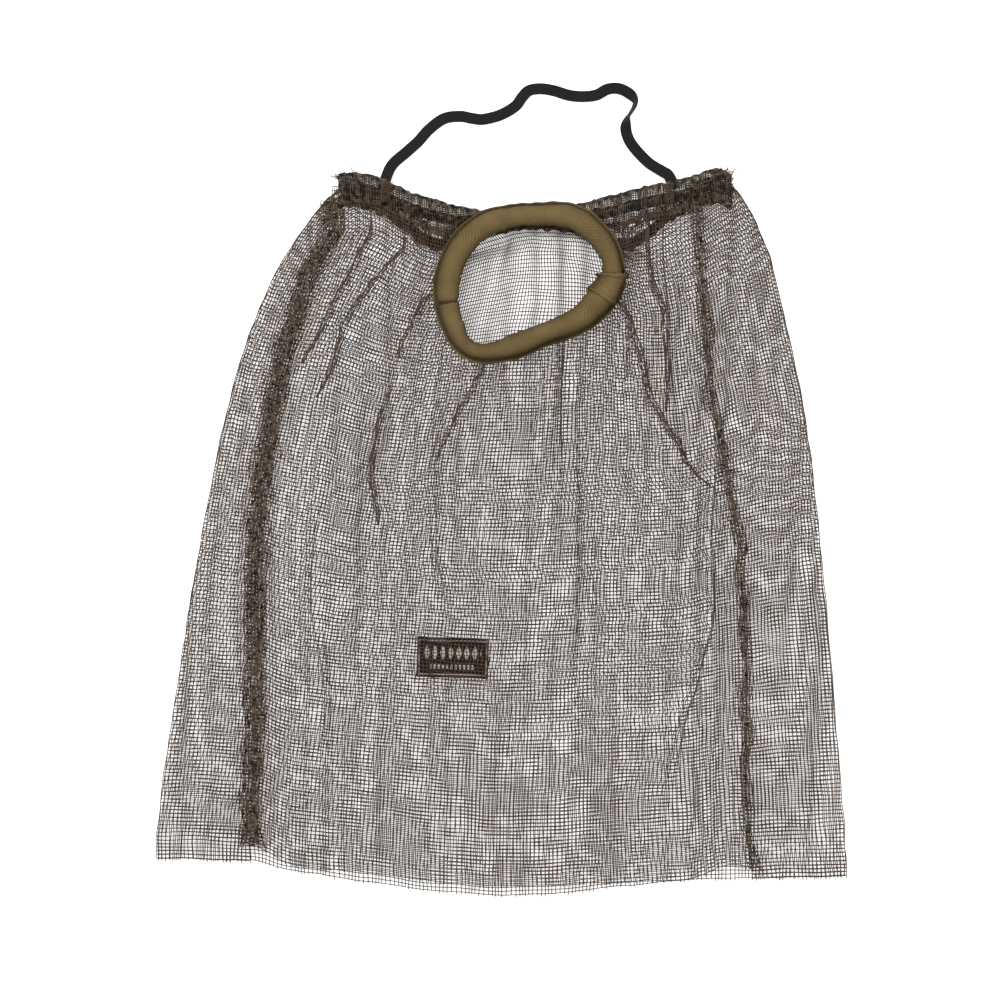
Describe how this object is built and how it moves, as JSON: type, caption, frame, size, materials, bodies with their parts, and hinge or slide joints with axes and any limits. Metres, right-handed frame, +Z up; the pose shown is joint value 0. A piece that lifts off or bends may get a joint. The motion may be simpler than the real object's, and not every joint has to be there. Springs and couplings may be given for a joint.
{
  "type": "net head veil",
  "caption": "Open square-mesh head veil laid flat, gathered at the crown with an elastic loop, with a padded face ring in the front panel.",
  "frame": {"origin": "middle of the veil's footprint on the surface it lies on, the free elastic loop left out", "axes": "+X to the right of the front panel, +Y from the hem to the crown, +Z up from the surface, out of the front panel"},
  "size_m": [0.4933, 0.5796, 0.0246],
  "materials": {
    "netting": "matt open square netting",
    "elastic": "matt knitted elastic",
    "twill": "matt cotton twill",
    "thread": "matt sewing thread",
    "padding": "matt foam",
    "label": "matt woven ribbon"
  },
  "bodies": {
    "crown": {"back_casing": "netting", "back_casing_thread": "thread", "back_elastic": "elastic", "back_net_upper": "netting", "front_casing": "netting", "front_casing_thread": "thread", "front_elastic": "elastic", "front_net_upper": "netting", "left_seam_thread_upper": "thread", "left_seam_upper": "netting", "right_seam_thread_upper": "thread", "right_seam_upper": "netting", "ring_cover": "twill", "ring_flange": "twill", "ring_lap": "twill", "ring_padding": "padding", "ring_tack": "thread", "ring_thread": "thread", "strap_tab_left": "netting", "strap_tab_right": "netting"},
    "skirt": {"back_net_lower": "netting", "front_net_lower": "netting", "label": "label", "label_thread": "thread", "left_seam_lower": "netting", "left_seam_thread_lower": "thread", "right_seam_lower": "netting", "right_seam_thread_lower": "thread"},
    "strap": {"elastic_strap": "elastic"}
  },
  "joints": [
    {"name": "skirt_lift", "type": "hinge", "parent": "crown", "child": "skirt", "pos_m": [0, 0, 0.0133], "axis": [-1, 0, 0], "range_deg": [0, 110]},
    {"name": "strap_swing", "type": "hinge", "parent": "crown", "child": "strap", "pos_m": [0, 0.251, 0.0095], "axis": [1, 0, 0], "range_deg": [0, 150]}
  ]
}
